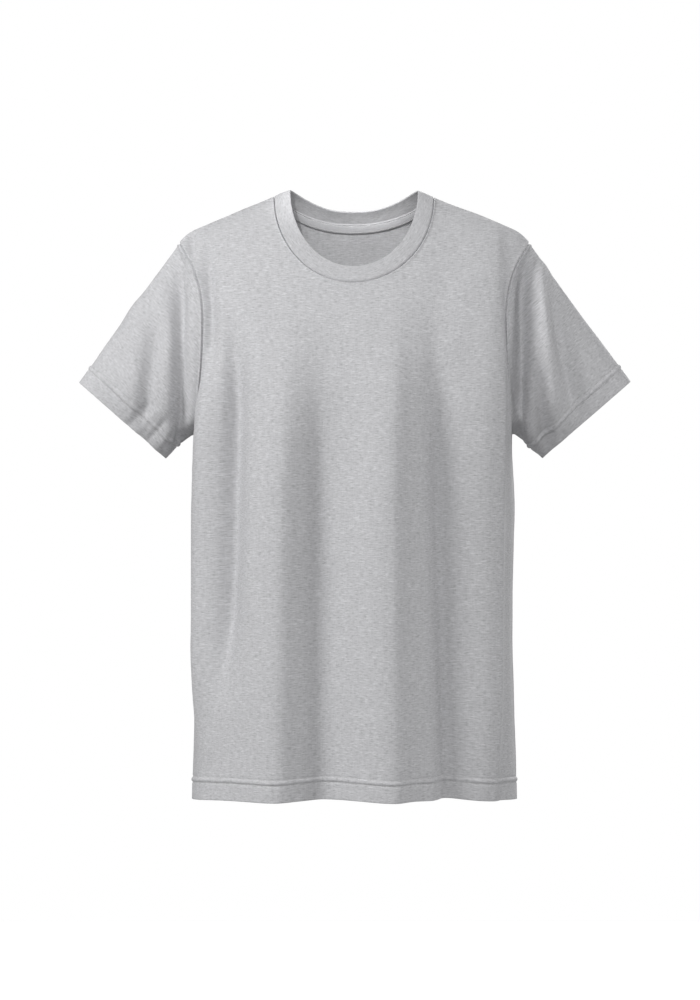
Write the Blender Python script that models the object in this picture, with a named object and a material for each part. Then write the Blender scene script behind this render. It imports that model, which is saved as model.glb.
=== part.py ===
"""Crew neck T-shirt in the hollow form it keeps when worn, with no wearer inside.

Metres, +Z up, the front faces -Y. The origin is the centre of the neck opening, level with the two points
where the shoulder seams meet the neckband: there the shirt hangs on its wearer's shoulders.

The pieces are the ones a maker cuts: front, back, two sleeves, a folded rib neckband and the tape that
covers the back neck seam. The front and back are grids on one torso form, given by sections, and each sleeve
is lofted from its armhole to its cuff. Seams share points and normals, so the pieces meet wall to wall.
"""

import math

import bpy
import numpy as np

MM = 0.001

# Cloth
JERSEY = 1.2 * MM            # one layer, body and sleeves
TURN_UP = 2.4 * MM           # two layers, at the hems
RIB = 2.4 * MM               # the neckband is folded double
TAPE = 1.0 * MM
SEAM_GAP = 0.3 * MM
HEM_STEP = 1.5 * MM          # how far above a hem's top the second layer has ended

# Neck and shoulders, from the neck points (x = half the neck, z = 0)
NECK_HALF = 96.6 * MM
FRONT_NECK_DROP = 103.6 * MM
BACK_NECK_DROP = 33 * MM
BACK_NECK_ROUND = 2.3        # power of the back neckline's curve
SHOULDER_SLOPE = 0.415       # fall over run
SHOULDER_HALF = 212 * MM     # centre to the sleeve seam's highest point
ROUND_FROM = 190 * MM        # the shoulder line bends down from here on
ROUND_DROP = 8 * MM          # and has dropped this much more at the sleeve seam
NECK_CROWN = 20 * MM         # the form's height over the middle of the neck
SHOULDER_SEAM_Y = 4 * MM

# Neckband: its folded edge as a share of the seam's ring, and how far that edge stands up
BAND_WIDTH_SHARE = 77 / 96.6
BAND_FRONT_SHARE = 0.91
BAND_BACK_SHARE = 0.80
BAND_RISE = {"neck point": 8.2 * MM, "front": 19.1 * MM, "back": 16.9 * MM}
TAPE_WIDTH = 9.5 * MM
TAPE_FROM_SEAM = 1.5 * MM
TAPE_GAP = 1.1 * MM          # between the tape and the panel it lies on

# Body
BODY_LENGTH = 725 * MM       # neck point to hem
UNDERARM_Z = -283 * MM
HEM = 21.7 * MM
CHEST_Z = {-1: -262 * MM, 1: -205 * MM}   # where the form starts to slope to the shoulders, front and back
SHOULDER_POWER = 1.8         # roundness of that slope
SQUARE = 2.4                 # power of the sections: 2 is an ellipse
UNDERARM_TUCK = 8 * MM       # the side seam is drawn in under the arm
TUCK_TURN = 16               # degrees of the section that the tuck takes
TUCK_DEPTH = 100 * MM        # and how far down the side it goes

# height, half width, depth in front, depth behind; above the underarm the widths carry on under the sleeves
BODY_SECTIONS = [
    (-760, 195.0, 118, 106),
    (-728, 194.5, 118, 106),
    (-600, 191.6, 121, 105),
    (-450, 190.0, 123, 105),
    (-350, 193.0, 124, 107),
    (-283, 196.5, 124, 109),
    (-200, 200.0, 121, 110),
    (-120, 210.0, 112, 105),
    (-50, 227.0, 100, 95),
    (30, 240.0, 92, 90),
]

# height, then how far round the section the sleeve seam lies, in degrees from the middle of the front or
# back; it ends at the foot of the shoulder seam
ARMHOLE = [
    (-283, 90.0, 90.0),
    (-266, 76.5, 79.0),
    (-217, 67.0, 71.0),
    (-170, 61.8, 67.0),
    (-120, 58.6, 63.0),
    (-85, 60.5, 62.5),
]

# Cuff: its highest and lowest corner seen from the front, and its size from front to back
CUFF_TOP = (332.5 * MM, -223 * MM)
CUFF_FOOT = (228 * MM, -314 * MM)
CUFF_HALF_DEPTH = 32 * MM
CUFF_Y = 4 * MM
CUFF_HEM = 20.4 * MM
SLEEVE_BELLY = 7 * MM        # how far the sleeve rounds out between its ends

# Grids
HALF_COLUMNS = 16            # of which the neckline takes half
ROWS_ABOVE = 12              # rows from the underarm up, and points on half an armhole
ROWS_BELOW = 11              # rows from the hem's top to the underarm
SLEEVE_ROWS = 8
COLUMN_SPREAD = 0.25         # columns are this much wider at the middle and narrower at the sides
SIDE_PULL = 3                # power by which the armhole's curve dies away towards the middle of the panel
ARMHOLE_REACH = 200 * MM     # turns the sleeve seam's angles into distances, to space its table
FINE = 200                   # steps used to measure along a curve

# Large folds: the side of the shirt they lie on (-1 front, 1 back), x and z of the upper end and the foot as
# seen from the front, reach to the left and right of the crest, and height. A negative height is a trough.
FOLDS = {
    "front": [
        (-1, -158, -240, -180, -520, 20, 14, 5),
        (-1, -68, -190, -79, -780, 46, 18, 8),
        (-1, 62, -130, 78, -780, 50, 19, 9),
        (-1, 150, -190, 150, -600, 18, 16, 4),
    ],
    "back": [
        (1, -110, -260, -128, -780, 34, 26, 6),
        (1, -20, -330, -4, -780, 30, 38, 5),
        (1, 96, -250, 118, -780, 26, 36, 7),
    ],
    "sleeve_right": [
        (-1, -212, -70, -204, -320, 9, 10, -11),
        (-1, -240, -150, -243, -300, 14, 12, -6),
        (1, -222, -120, -214, -330, 12, 14, -8),
    ],
    "sleeve_left": [
        (-1, 205, -75, 193, -320, 8, 12, -11),
        (-1, 220, -70, 262, -240, 12, 12, -5),
        (-1, 216, -200, 222, -300, 9, 9, -5),
        (1, 222, -120, 214, -330, 14, 12, -8),
    ],
}

SHARP_EDGE = math.radians(50)

# Which edges of each piece's grid are sewn to another piece, and which grids close into a ring
SEWN = {
    "front": ("last row", "sides"),
    "back": ("last row", "sides"),
    "sleeve_right": ("first row",),
    "sleeve_left": ("first row",),
    "neckband": ("first row",),
}
RINGS = ("sleeve_right", "sleeve_left", "neckband")
FADE_ROWS = 3
FOLD_FADE = 0.3              # share of a fold's length over which it rises at each end
FACING = 0.3                 # a fold has its full height where the cloth faces its side at least this much
EDGE_SHARE = 0.5             # each of two pieces gives way by this share of the seam gap
# Likeness of a piece's own and its shared normals at a seam: its own are kept below, the shared ones above
SHARP_SEAM = (0.55, 0.75)


def read_sections(heights):
    """Half width, front depth and back depth of the torso form at these heights, smooth between the rows."""
    table = np.array(BODY_SECTIONS, float) * MM
    rows, values = table[:, 0], table[:, 1:]
    return [smooth(rows, values[:, k], heights) for k in range(3)]


def smooth(at, values, where):
    """A curve through values, with the slope at each taken from its neighbours."""
    slopes = np.gradient(values, at)
    i = np.clip(np.searchsorted(at, where) - 1, 0, len(at) - 2)
    span = at[i + 1] - at[i]
    t = np.clip((where - at[i]) / span, 0, 1)
    keep, swing = 1 - t, t * (1 - t) * span
    return (
        values[i] * keep**2 * (1 + 2 * t)
        + values[i + 1] * t**2 * (3 - 2 * t)
        + swing * (slopes[i] * keep - slopes[i + 1] * t)
    )


def shoulder_height(x):
    """Height of the form's top line over x: the shoulder seam, and a crown over the open neck."""
    x = np.abs(x)
    crown = NECK_CROWN * (1 - (x / NECK_HALF) ** 2)
    seam = -SHOULDER_SLOPE * (x - NECK_HALF)
    bend = ROUND_DROP * (np.maximum(x - ROUND_FROM, 0) / (SHOULDER_HALF - ROUND_FROM)) ** 2
    return np.where(x < NECK_HALF, crown, seam - bend)


def torso(turn, z, face):
    """Points of the torso form. turn runs from 0 at the middle of the front (face -1) or back (face 1) to a
    quarter turn at the side seam, and is negative on the wearer's right."""
    around = np.abs(turn)
    half, front, back = read_sections(z)
    depth = front if face < 0 else back
    power = 2 / SQUARE
    x = half * np.sin(around) ** power
    ring = face * depth * np.clip(np.cos(around), 0, 1) ** power
    climb = np.clip((z - CHEST_Z[face]) / (shoulder_height(x) - CHEST_Z[face]), 0, 1)
    keep = (1 - climb**SHOULDER_POWER) ** (1 / SHOULDER_POWER)
    y = SHOULDER_SEAM_Y + (ring - SHOULDER_SEAM_Y) * keep
    tuck = np.exp(-(((math.pi / 2 - around) / math.radians(TUCK_TURN)) ** 2))
    down = np.clip((z - UNDERARM_Z + TUCK_DEPTH) / TUCK_DEPTH, 0, 1)
    x = x - UNDERARM_TUCK * tuck * down**2 * (3 - 2 * down)
    return np.stack([np.copysign(x, turn), y, z + 0 * x], axis=-1)


def turn_at(x, z):
    """How far round the section at height z the form is x from the middle."""
    half = read_sections(z)[0]
    return np.arcsin(np.clip(x / half, 0, 1) ** (SQUARE / 2))


def even(curve, face, count, spread=0):
    """count + 1 (turn, z) pairs along curve(t), for t from 0 to 1, by their distance on the form. With a
    spread, the first gaps are that much wider and the last ones narrower."""
    t = np.linspace(0, 1, FINE)
    steps = np.linalg.norm(np.diff(torso(*curve(t), face), axis=0), axis=1)
    run = np.concatenate([[0], np.cumsum(steps)])
    share = np.linspace(0, 1, count + 1)
    share += spread * np.sin(math.pi * share) / math.pi
    return np.stack(curve(np.interp(share * run[-1], run, t)), axis=-1)


def ring_at(z):
    """The section at one height, from the middle to the side seam."""
    return lambda t: (t * math.pi / 2, np.full_like(t, z))


def neckline(face):
    """The neck seam, from the middle to the neck point: an ellipse in front, a shallow bowl behind."""

    def curve(t):
        if face < 0:
            x = NECK_HALF * np.sin(t * math.pi / 2)
            z = -FRONT_NECK_DROP * np.cos(t * math.pi / 2)
        else:
            x = NECK_HALF * t
            z = -BACK_NECK_DROP * (1 - t**BACK_NECK_ROUND)
        return turn_at(x, z), z

    return curve


def shoulder_seam(t):
    x = NECK_HALF + (SHOULDER_HALF - NECK_HALF) * t
    z = shoulder_height(x)
    return turn_at(x, z), z


def armhole(face):
    """The sleeve seam, from the underarm up to the shoulder."""
    table = np.array(ARMHOLE, float)
    top_turn, top_height = shoulder_seam(1.0)
    heights = np.append(table[:, 0] * MM, top_height)
    turns = np.append(np.radians(table[:, 1 if face < 0 else 2]), top_turn)
    run = np.concatenate([[0], np.cumsum(np.hypot(np.diff(heights), ARMHOLE_REACH * np.diff(turns)))])
    run /= run[-1]
    return lambda t: (smooth(run, turns, t), smooth(run, heights, t))


def upper_half(face):
    """(turn, z) on the half panel above the underarm: a patch between its four edges."""
    low = even(ring_at(UNDERARM_Z), face, HALF_COLUMNS, COLUMN_SPREAD)
    neck = even(neckline(face), face, HALF_COLUMNS // 2)
    shoulder = even(shoulder_seam, face, HALF_COLUMNS // 2)
    top = np.concatenate([neck, shoulder[1:]])
    side = even(armhole(face), face, ROWS_ABOVE)
    top[-1] = side[-1]
    s = np.linspace(0, 1, HALF_COLUMNS + 1)[None, :, None]
    t = np.linspace(0, 1, ROWS_ABOVE + 1)[:, None, None]
    straight = (1 - t) * low[-1] + t * top[-1]
    return (1 - t) * low + t * top + s**SIDE_PULL * (side[:, None] - straight)


def panel(face):
    """The whole front or back as rows of points, from the hem up, each from the wearer's right to left."""
    hem_top = -BODY_LENGTH + HEM
    heights = [-BODY_LENGTH, hem_top, *np.linspace(hem_top + HEM_STEP, UNDERARM_Z, ROWS_BELOW)[:-1]]
    lower = [even(ring_at(z), face, HALF_COLUMNS, COLUMN_SPREAD) for z in heights]
    half = np.concatenate([lower, upper_half(face)])
    mirrored = half[:, :0:-1] * [-1, 1]
    whole = np.concatenate([mirrored, half], axis=1)
    return torso(whole[..., 0], whole[..., 1], face)


def armhole_ring(front, back, side):
    """The sleeve seam's points on one side, from the shoulder down the front, and up the back."""
    column = -1 if side > 0 else 0
    down = front[-ROWS_ABOVE - 1 :, column][::-1]
    up = back[-ROWS_ABOVE - 1 :, column]
    return np.concatenate([down, up[1:-1]])


def sleeve(ring, side):
    """Rings of points from the armhole to the cuff."""
    count = len(ring)
    angle = 2 * math.pi * np.arange(count) / count
    top, foot = np.array(CUFF_TOP), np.array(CUFF_FOOT)
    across = (top + foot) / 2 + (top - foot) / 2 * np.cos(angle)[:, None]
    cuff = np.stack([side * across[:, 0], CUFF_Y - CUFF_HALF_DEPTH * np.sin(angle), across[:, 1]], axis=-1)
    length = np.linalg.norm(cuff - ring, axis=1)
    hem_top = 1 - CUFF_HEM / length
    shares = np.linspace(0, hem_top - HEM_STEP / length, SLEEVE_ROWS)
    shares = np.concatenate([shares, [hem_top], np.ones((1, count))])[..., None]
    rows = (1 - shares) * ring + shares * cuff
    rows[..., 1] -= SLEEVE_BELLY * np.sin(angle) * np.sin(math.pi * shares[..., 0])
    return rows


def neck_ring(front, back):
    """The neck seam's points, from the wearer's right round the front and back again behind."""
    half = HALF_COLUMNS // 2
    columns = slice(HALF_COLUMNS - half, HALF_COLUMNS + half + 1)
    return np.concatenate([front[-1, columns], back[-1, columns][::-1][1:-1]])


def neckband(ring):
    """Rings from the seam to the folded edge, which is shorter and stands up a little."""
    front = ring[:, 1] < SHOULDER_SEAM_Y
    reach = np.sqrt(np.clip(1 - (ring[:, 0] / NECK_HALF) ** 2, 0, 1))
    middle = np.where(front, BAND_RISE["front"], BAND_RISE["back"])
    rise = BAND_RISE["neck point"] + (middle - BAND_RISE["neck point"]) * reach
    share = np.where(front, BAND_FRONT_SHARE, BAND_BACK_SHARE)
    edge = ring * np.stack([np.full(len(ring), BAND_WIDTH_SHARE), share, np.ones(len(ring))], axis=-1)
    edge[:, 2] += rise
    return np.array([ring, (ring + edge) / 2, edge])


def quad_normals(grid, closed):
    """The corners' normal of each quad of a grid, and the row and column indices of the corners."""
    rows, columns = grid.shape[:2]
    wrap = columns if closed else columns - 1
    for i in range(rows - 1):
        for j in range(wrap):
            corners = [(i, j), (i, (j + 1) % columns), (i + 1, (j + 1) % columns), (i + 1, j)]
            a, b, c, d = (grid[k] for k in corners)
            yield corners, np.cross(c - a, d - b)


def unit(vectors):
    return vectors / np.linalg.norm(vectors, axis=-1)[..., None]


def own_normals(grid, closed):
    """One outward normal for each point of a grid."""
    normals = np.zeros_like(grid)
    for corners, normal in quad_normals(grid, closed):
        for corner in corners:
            normals[corner] += normal
    return unit(normals)


def shared_normals(pieces):
    """One outward normal for each point. Points that pieces share at a seam get the same one, half way
    between the pieces, but where the seam is a sharp valley each piece keeps its own."""
    own = {}
    keys = {}
    sums = {}
    for name, grid in pieces.items():
        own[name] = own_normals(grid, name in RINGS)
        keys[name] = [tuple(point) for point in np.round(grid.reshape(-1, 3) / MM, 2)]
    for name, normals in own.items():
        for key, normal in zip(keys[name], normals.reshape(-1, 3)):
            sums[key] = sums.get(key, 0) + normal
    found = {}
    for name, normals in own.items():
        shared = unit(np.array([sums[key] for key in keys[name]])).reshape(normals.shape)
        likeness = (shared * normals).sum(axis=-1)[..., None]
        trust = np.clip((likeness - SHARP_SEAM[0]) / (SHARP_SEAM[1] - SHARP_SEAM[0]), 0, 1)
        found[name] = unit(normals + (shared - normals) * trust)
    return found


def fold_heights(points, normals, folds):
    """How far each point moves out, from its place seen from the front."""
    total = np.zeros(points.shape[:-1])
    for face, *row in folds:
        x0, z0, x1, z1, left, right, height = (value * MM for value in row)
        length = math.hypot(x1 - x0, z1 - z0)
        along = ((points[..., 0] - x0) * (x1 - x0) + (points[..., 2] - z0) * (z1 - z0)) / length
        off = ((points[..., 0] - x0) * (z0 - z1) + (points[..., 2] - z0) * (x1 - x0)) / length
        fade = FOLD_FADE * length
        start = np.clip(along / fade, 0, 1)
        end = np.clip((length - along) / fade, 0, 1)
        ends = start**2 * (3 - 2 * start) * end**2 * (3 - 2 * end)
        facing = np.clip(face * normals[..., 1] / FACING, 0, 1)
        total += height * facing * ends * np.exp(-((off / np.where(off < 0, left, right)) ** 2))
    return total


def seam_fade(grid, sewn):
    """0 on a piece's sewn edges and 1 a few rows away, so that folds leave the seams in place."""
    rows, columns = grid.shape[:2]
    fade = np.ones((rows, columns))
    if "last row" in sewn:
        fade *= np.clip((rows - 1 - np.arange(rows)) / FADE_ROWS, 0, 1)[:, None]
    if "first row" in sewn:
        fade *= np.clip(np.arange(rows), 0, 1)[:, None]
    if "sides" in sewn:
        from_side = np.minimum(np.arange(columns), columns - 1 - np.arange(columns))
        fade *= np.clip(from_side / FADE_ROWS, 0, 1)
    return fade


def pull_in(grid, sewn, closed):
    """Moves the sewn edges half a seam gap inwards, square to the seam."""
    moved = grid.copy()
    for name, lines, target, edge, inner in (
        ("first row", grid, moved, 0, 1),
        ("last row", grid, moved, -1, -2),
        ("sides", grid.swapaxes(0, 1), moved.swapaxes(0, 1), 0, 1),
        ("sides", grid.swapaxes(0, 1), moved.swapaxes(0, 1), -1, -2),
    ):
        if name in sewn:
            seam = lines[edge]
            if closed:
                along = unit(np.roll(seam, -1, axis=0) - np.roll(seam, 1, axis=0))
            else:
                along = unit(np.gradient(seam, axis=0))
            step = lines[inner] - seam
            step -= along * (step * along).sum(axis=-1)[:, None]
            target[edge] += unit(step) * SEAM_GAP * EDGE_SHARE
    return moved


def wall(name, grid, normals, thickness, closed, material):
    """A closed solid: the grid as the outer face, the same grid moved in as the inner face, and the rims. The
    inner face follows the normals that neighbours share, so that walls meet at a bend without crossing."""
    rows, columns = grid.shape[:2]
    inner = grid - normals * np.broadcast_to(thickness, (rows,))[:, None, None]
    points = np.concatenate([grid.reshape(-1, 3), inner.reshape(-1, 3)])
    size = rows * columns

    def quad(i, j):
        k = (j + 1) % columns
        return [i * columns + j, i * columns + k, (i + 1) * columns + k, (i + 1) * columns + j]

    wrap = columns if closed else columns - 1
    outer = [quad(i, j) for i in range(rows - 1) for j in range(wrap)]
    faces = outer + [[size + k for k in reversed(face)] for face in outer]
    border = [[j, (j + 1) % columns] for j in range(wrap)]
    border += [[(rows - 1) * columns + (j + 1) % columns, (rows - 1) * columns + j] for j in range(wrap)]
    if not closed:
        border += [[(i + 1) * columns, i * columns] for i in range(rows - 1)]
        border += [[(i + 1) * columns - 1, (i + 2) * columns - 1] for i in range(rows - 1)]
    faces += [[b, a, size + a, size + b] for a, b in border]
    mesh = bpy.data.meshes.new(name)
    mesh.from_pydata([tuple(p) for p in points], [], faces)
    mesh.shade_smooth()
    mesh.set_sharp_from_angle(angle=SHARP_EDGE)
    mesh.materials.append(material)
    piece = bpy.data.objects.new(name, mesh)
    bpy.data.collections["crew_neck_t_shirt"].objects.link(piece)
    return piece


def cloth(name, colour, roughness):
    material = bpy.data.materials.new(name)
    material.use_nodes = True
    shader = material.node_tree.nodes["Principled BSDF"]
    shader.inputs["Base Color"].default_value = (*colour, 1)
    shader.inputs["Roughness"].default_value = roughness
    shader.inputs["Metallic"].default_value = 0
    return material


def start_scene():
    for old in list(bpy.data.objects):
        bpy.data.objects.remove(old)
    shirt = bpy.data.collections.new("crew_neck_t_shirt")
    bpy.context.scene.collection.children.link(shirt)


def hem_thickness(grid, name):
    """Two layers on the hem's rows and in the neckband, one on the rest."""
    layers = np.full(len(grid), RIB if name == "neckband" else JERSEY)
    if name in ("front", "back"):
        layers[:2] = TURN_UP
    elif name != "neckband":
        layers[-2:] = TURN_UP
    return layers


def neck_tape(back, normals, material):
    """A strip inside the back panel, just below the neck seam, laid along the panel's inner face."""
    half = HALF_COLUMNS // 2
    columns = slice(HALF_COLUMNS - half + 1, HALF_COLUMNS + half)
    seam, below = (back[k, columns] for k in (-1, -2))
    out_seam, out_below = (normals[k, columns] for k in (-1, -2))
    length = np.linalg.norm(below - seam, axis=1)[:, None]
    rows, out_rows = [], []
    for distance in (TAPE_FROM_SEAM + TAPE_WIDTH, TAPE_FROM_SEAM):
        share = distance / length
        out_rows.append(out_seam + (out_below - out_seam) * share)
        rows.append(seam + (below - seam) * share - out_rows[-1] * (JERSEY + TAPE_GAP))
    return wall("neck_tape", np.array(rows), np.array(out_rows), np.full(2, TAPE), False, material)


def main():
    start_scene()
    jersey = cloth("heather_jersey", (0.53, 0.53, 0.54), 0.9)
    rib = cloth("heather_rib", (0.53, 0.53, 0.54), 0.9)
    tape = cloth("neck_tape", (0.6, 0.6, 0.61), 0.9)

    front, back = panel(-1), panel(1)
    grids = {"front": front, "back": back[:, ::-1]}
    for side, name in ((-1, "sleeve_right"), (1, "sleeve_left")):
        grids[name] = sleeve(armhole_ring(front, back, side), side)[:, ::side]
    grids["neckband"] = neckband(neck_ring(front, back))

    smooth_normals = shared_normals(grids)
    for name, folds in FOLDS.items():
        out = fold_heights(grids[name], smooth_normals[name], folds) * seam_fade(grids[name], SEWN[name])
        grids[name] = grids[name] + smooth_normals[name] * out[..., None]

    normals = shared_normals(grids)
    for name, grid in grids.items():
        thickness = hem_thickness(grid, name)
        closed = name in RINGS
        material = rib if name == "neckband" else jersey
        wall(name, pull_in(grid, SEWN[name], closed), normals[name], thickness, closed, material)
    neck_tape(grids["back"], normals["back"], tape)


main()
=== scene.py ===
# %% [markdown]
# # A crew neck T-shirt, filled out and hollow
#
# The shirt hangs in the air as it would on somebody's shoulders, with nobody in it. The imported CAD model
# gives its pieces as plain walls. This lesson lays a fine shell over each of them: the same pieces, cut from
# the same form, with the folds, seams, hems, stitches and knit that make it cloth.

import math

import bpy
import numpy as np
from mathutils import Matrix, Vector, noise


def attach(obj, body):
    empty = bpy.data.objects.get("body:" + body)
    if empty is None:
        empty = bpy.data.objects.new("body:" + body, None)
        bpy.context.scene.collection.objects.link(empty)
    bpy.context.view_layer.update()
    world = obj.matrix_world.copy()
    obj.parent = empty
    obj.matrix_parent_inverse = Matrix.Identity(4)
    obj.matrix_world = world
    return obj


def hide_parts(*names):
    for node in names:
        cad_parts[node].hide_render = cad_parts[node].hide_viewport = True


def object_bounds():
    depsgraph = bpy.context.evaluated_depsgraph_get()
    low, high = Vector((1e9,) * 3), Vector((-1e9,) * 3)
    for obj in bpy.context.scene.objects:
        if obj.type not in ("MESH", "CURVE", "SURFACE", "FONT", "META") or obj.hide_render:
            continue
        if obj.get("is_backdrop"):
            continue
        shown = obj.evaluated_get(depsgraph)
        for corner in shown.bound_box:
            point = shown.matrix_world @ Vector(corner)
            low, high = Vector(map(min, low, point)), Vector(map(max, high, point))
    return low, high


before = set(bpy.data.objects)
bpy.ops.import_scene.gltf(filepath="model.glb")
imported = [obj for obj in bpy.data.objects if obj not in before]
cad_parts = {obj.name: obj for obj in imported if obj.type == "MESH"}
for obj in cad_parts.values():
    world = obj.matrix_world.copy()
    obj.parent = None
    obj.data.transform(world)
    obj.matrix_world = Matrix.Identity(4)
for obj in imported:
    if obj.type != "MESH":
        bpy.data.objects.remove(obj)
cad_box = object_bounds()
MM = 0.001


def in_mm(values):
    return np.round(np.array(values) / MM, 1).tolist()


print("CAD box in mm:", in_mm([list(corner) for corner in cad_box]))

# %% [markdown]
# ## The torso form
#
# A shirt on a body is a tube whose section changes with height. Each section here is a superellipse:
# rounder than a box, fuller than an ellipse. Three numbers give it, the half width and the depths in front
# and behind, and a smooth curve through a short table gives those at every height. Towards the shoulders the
# depth closes in on the line of the shoulder seam. A point of the form is named by how far round it lies
# (its turn) and its height. The sizes are those of the CAD pieces, so each shell lies on its solid.

# %% The torso form
NECK_HALF = 96.6 * MM            # centre to neck point
FRONT_NECK_DROP = 103.6 * MM     # neck seam, below the neck points
BACK_NECK_DROP = 33 * MM
BACK_NECK_ROUND = 2.3            # power of the back neckline's curve
SHOULDER_SLOPE = 0.415           # fall over run
SHOULDER_HALF = 212 * MM         # centre to the sleeve seam's highest point
ROUND_FROM = 190 * MM            # the shoulder line bends down from here on
ROUND_DROP = 8 * MM              # and has dropped this much more at the sleeve seam
NECK_CROWN = 20 * MM             # the form's height over the middle of the neck
SHOULDER_SEAM_Y = 4 * MM
BODY_LENGTH = 725 * MM           # neck point to hem
UNDERARM_Z = -283 * MM
CHEST_Z = {-1: -262 * MM, 1: -205 * MM}   # the slope to the shoulders starts here, front (-1), back (1)
SHOULDER_POWER = 1.8             # roundness of that slope
SQUARE = 2.4                     # power of the sections: 2 is an ellipse
UNDERARM_TUCK = 8 * MM           # the side seam is drawn in under the arm
TUCK_TURN = math.radians(16)
TUCK_DEPTH = 100 * MM

# height, half width, depth in front, depth behind
BODY_SECTIONS = np.array([
    (-760, 195.0, 118, 106),
    (-728, 194.5, 118, 106),
    (-600, 191.6, 121, 105),
    (-450, 190.0, 123, 105),
    (-350, 193.0, 124, 107),
    (-283, 196.5, 124, 109),
    (-200, 200.0, 121, 110),
    (-120, 210.0, 112, 105),
    (-50, 227.0, 100, 95),
    (30, 240.0, 92, 90),
]) * MM


def smooth_curve(at, values, where):
    """A curve through values, with the slope at each taken from its neighbours."""
    slopes = np.gradient(values, at)
    i = np.clip(np.searchsorted(at, where) - 1, 0, len(at) - 2)
    span = at[i + 1] - at[i]
    t = np.clip((where - at[i]) / span, 0, 1)
    swing = t * (1 - t) * span * (slopes[i] * (1 - t) - slopes[i + 1] * t)
    return values[i] * (1 - t)**2 * (1 + 2 * t) + values[i + 1] * t**2 * (3 - 2 * t) + swing


def shoulder_height(x):
    """Height of the form's top line over x: a crown over the open neck, then the shoulder seam."""
    x = np.abs(x)
    crown = NECK_CROWN * (1 - (x / NECK_HALF)**2)
    bend = ROUND_DROP * (np.maximum(x - ROUND_FROM, 0) / (SHOULDER_HALF - ROUND_FROM))**2
    return np.where(x < NECK_HALF, crown, -SHOULDER_SLOPE * (x - NECK_HALF) - bend)


def torso(turn, z, face):
    """Points of the form. turn is 0 at the middle of the front or back and a quarter turn at the side."""
    around = np.abs(turn)
    half, front, back = (smooth_curve(BODY_SECTIONS[:, 0], BODY_SECTIONS[:, k], z) for k in (1, 2, 3))
    x = half * np.sin(around)**(2 / SQUARE)
    ring = face * (front if face < 0 else back) * np.clip(np.cos(around), 0, 1)**(2 / SQUARE)
    climb = np.clip((z - CHEST_Z[face]) / (shoulder_height(x) - CHEST_Z[face]), 0, 1)
    keep = (1 - climb**SHOULDER_POWER)**(1 / SHOULDER_POWER)
    y = SHOULDER_SEAM_Y + (ring - SHOULDER_SEAM_Y) * keep
    tuck = np.exp(-(((math.pi / 2 - around) / TUCK_TURN)**2))
    down = np.clip((z - UNDERARM_Z + TUCK_DEPTH) / TUCK_DEPTH, 0, 1)
    x = x - UNDERARM_TUCK * tuck * down**2 * (3 - 2 * down)
    return np.stack([np.copysign(x, turn), y, z + 0 * x], axis=-1)


def turn_at(x, z):
    """How far round the section at height z the form is x from the middle."""
    half = smooth_curve(BODY_SECTIONS[:, 0], BODY_SECTIONS[:, 1], z)
    return np.arcsin(np.clip(x / half, 0, 1)**(SQUARE / 2))


side_of_chest = torso(np.array([math.pi / 2]), np.array([-350 * MM]), -1)[0]
print("chest:", np.round(2 * side_of_chest[0] / MM), "mm across")

# %% [markdown]
# ## Seam lines
#
# The maker's paper pattern becomes curves on the form. The front neckline is half an ellipse and the back
# one a shallow bowl. The shoulder seam runs along the form's top line. The sleeve seam comes from a table of
# turns at heights. It lies nearer to the middle on the chest than behind, as an armhole is scooped for the
# arm.

# %% Seam lines
# height, then the sleeve seam's turn in degrees, in front and behind; it ends at the shoulder seam
ARMHOLE = np.array([
    (-283, 90.0, 90.0),
    (-266, 76.5, 79.0),
    (-217, 67.0, 71.0),
    (-170, 61.8, 67.0),
    (-120, 58.6, 63.0),
    (-85, 60.5, 62.5),
])
ARMHOLE_REACH = 200 * MM         # turns angles into distances, to space the table
FINE = 400                       # steps used to measure along a curve
COLUMN_SPREAD = 0.25             # columns are wider at the middle than at the sides


def section_line(z):
    return lambda t: (t * math.pi / 2, np.full_like(t, z))


def neckline(face):
    def line(t):
        if face < 0:
            x = NECK_HALF * np.sin(t * math.pi / 2)
            z = -FRONT_NECK_DROP * np.cos(t * math.pi / 2)
        else:
            x = NECK_HALF * t
            z = -BACK_NECK_DROP * (1 - t**BACK_NECK_ROUND)
        return turn_at(x, z), z

    return line


def shoulder_line(t):
    x = NECK_HALF + (SHOULDER_HALF - NECK_HALF) * t
    z = shoulder_height(x)
    return turn_at(x, z), z


def armhole_line(face):
    top_turn, top_height = shoulder_line(1.0)
    heights = np.append(ARMHOLE[:, 0] * MM, top_height)
    turns = np.append(np.radians(ARMHOLE[:, 1 if face < 0 else 2]), top_turn)
    steps = np.hypot(np.diff(heights), ARMHOLE_REACH * np.diff(turns))
    run = np.concatenate([[0], np.cumsum(steps)])
    run /= run[-1]
    return lambda t: (smooth_curve(run, turns, t), smooth_curve(run, heights, t))


def points_on(line, face, shares):
    """(turn, z) at these shares of the line's length, measured on the form."""
    t = np.linspace(0, 1, FINE)
    steps = np.linalg.norm(np.diff(torso(*line(t), face), axis=0), axis=1)
    run = np.concatenate([[0], np.cumsum(steps)])
    return np.stack(line(np.interp(shares * run[-1], run, t)), axis=-1)


for side, words in ((-1, "front"), (1, "back")):
    seam = points_on(armhole_line(side), side, np.linspace(0, 1, FINE))
    length = np.linalg.norm(np.diff(torso(seam[:, 0], seam[:, 1], side), axis=0), axis=1).sum()
    print(words, "armhole:", round(length / MM), "mm")

# %% [markdown]
# ## Panels as grids
#
# A subdivided plane could be draped over the form, but its edges would not lie on the seams. So each panel
# is a grid of its own: below the underarm its rows are level sections, and above it a patch is stretched
# between the underarm line, the sleeve seam, the shoulder seam and the neckline. Rows and columns crowd
# together beside a seam and in the hem, where the shape changes within a few millimetres, and are about
# 3.5 mm apart elsewhere.

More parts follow.
